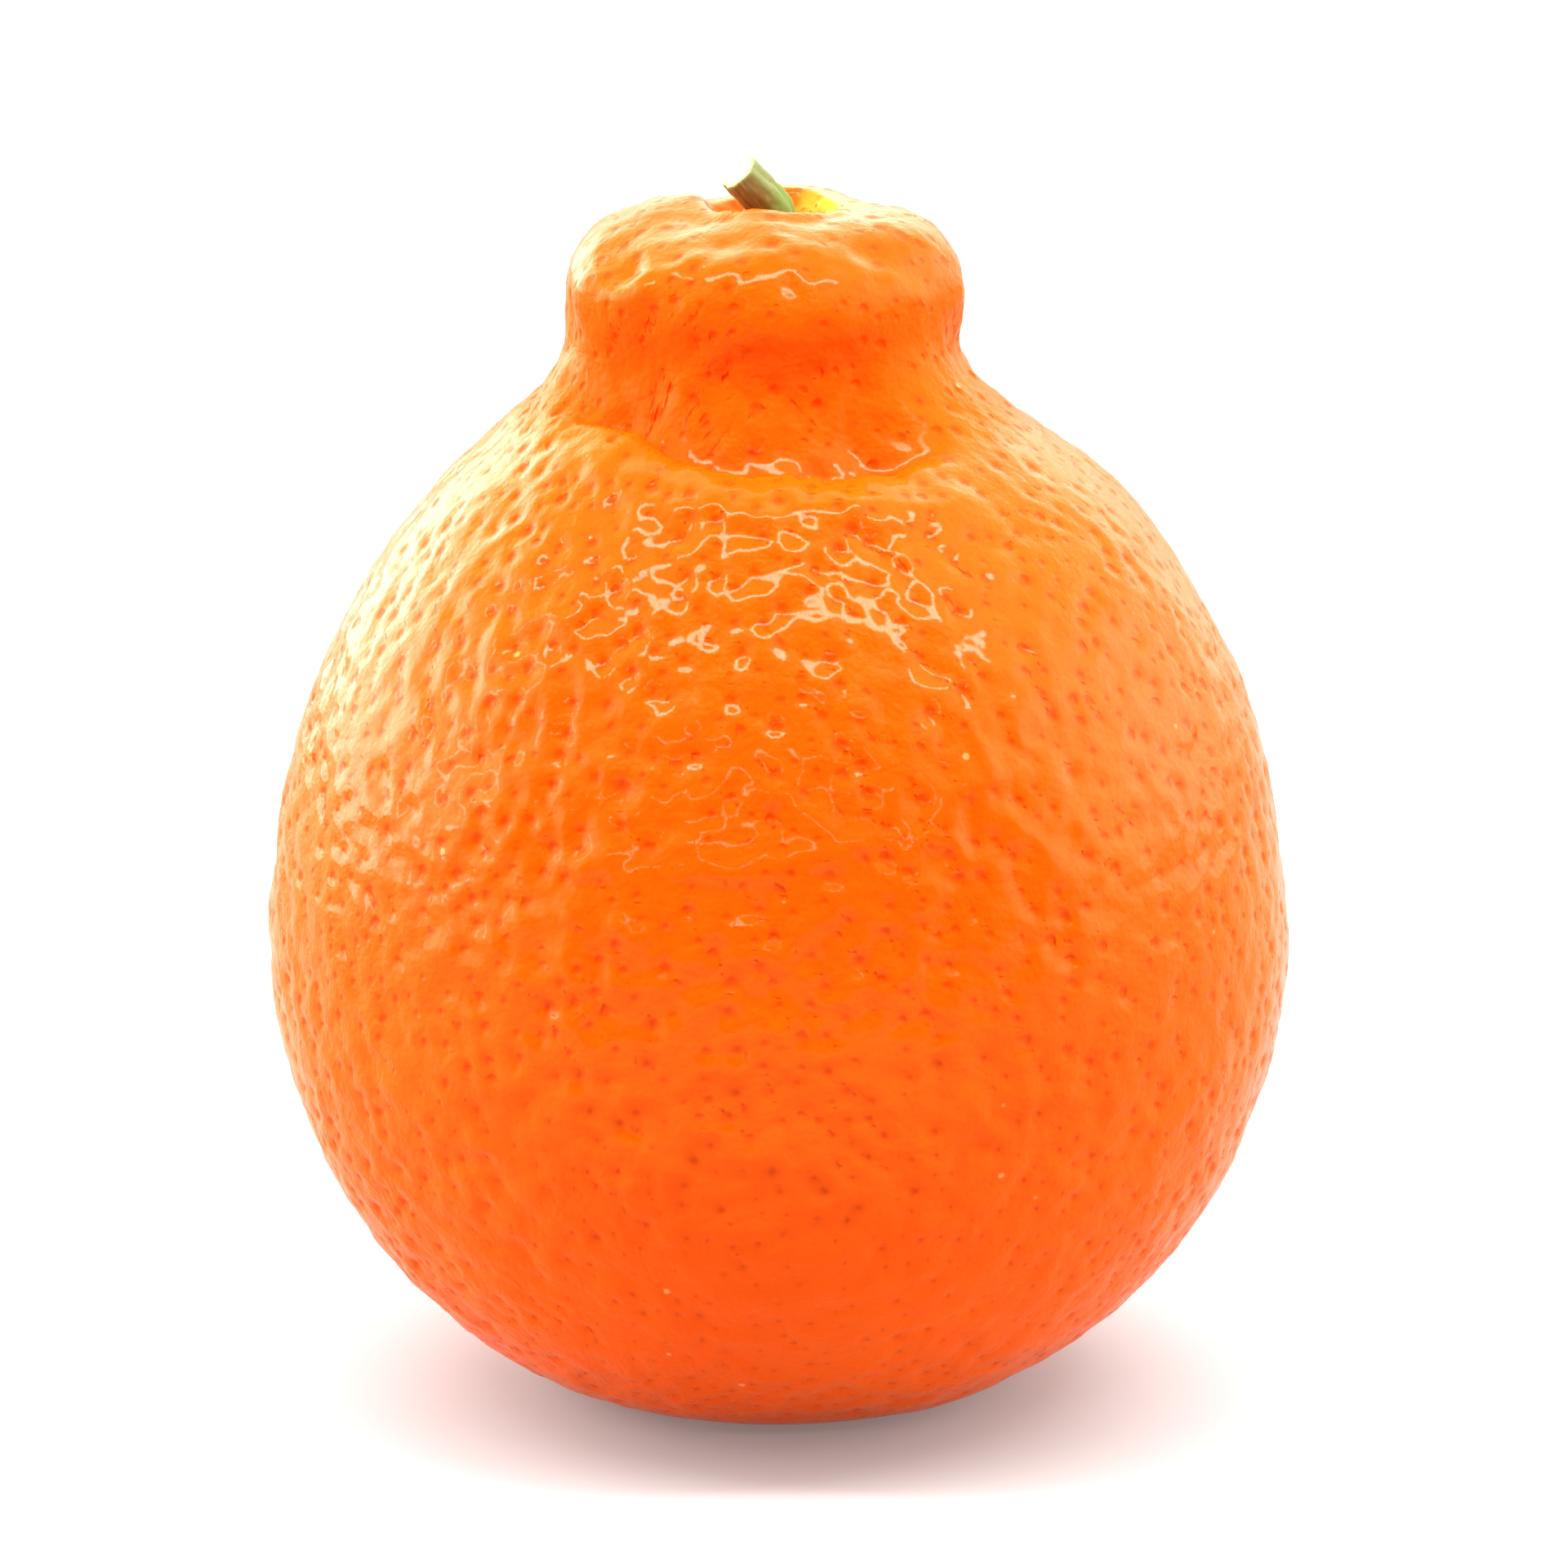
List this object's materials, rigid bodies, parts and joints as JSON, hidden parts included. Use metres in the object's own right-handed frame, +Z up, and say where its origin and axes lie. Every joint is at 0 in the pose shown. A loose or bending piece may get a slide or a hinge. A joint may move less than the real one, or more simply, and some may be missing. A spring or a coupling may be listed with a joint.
{
  "type": "tangelo",
  "caption": "Whole fresh tangelo with a bulbous neck, pebbled orange peel and a short stub of stalk, standing upright on its blossom end.",
  "frame": {"origin": "middle of the small flat spot at the blossom end that the fruit rests on", "axes": "+Z up through the neck; -Y is the side where the shoulder folds over the foot of the neck; the stalk leans towards -X"},
  "size_m": [0.076, 0.076, 0.0923],
  "materials": {
    "peel": null,
    "calyx_green": "dull green plant tissue with brown edges",
    "stalk_bark": "matt olive-brown young bark with a pale green-white cut end"
  },
  "bodies": {
    "root": {"fruit": "peel", "calyx": "calyx_green", "stem": "stalk_bark"}
  },
  "joints": []
}
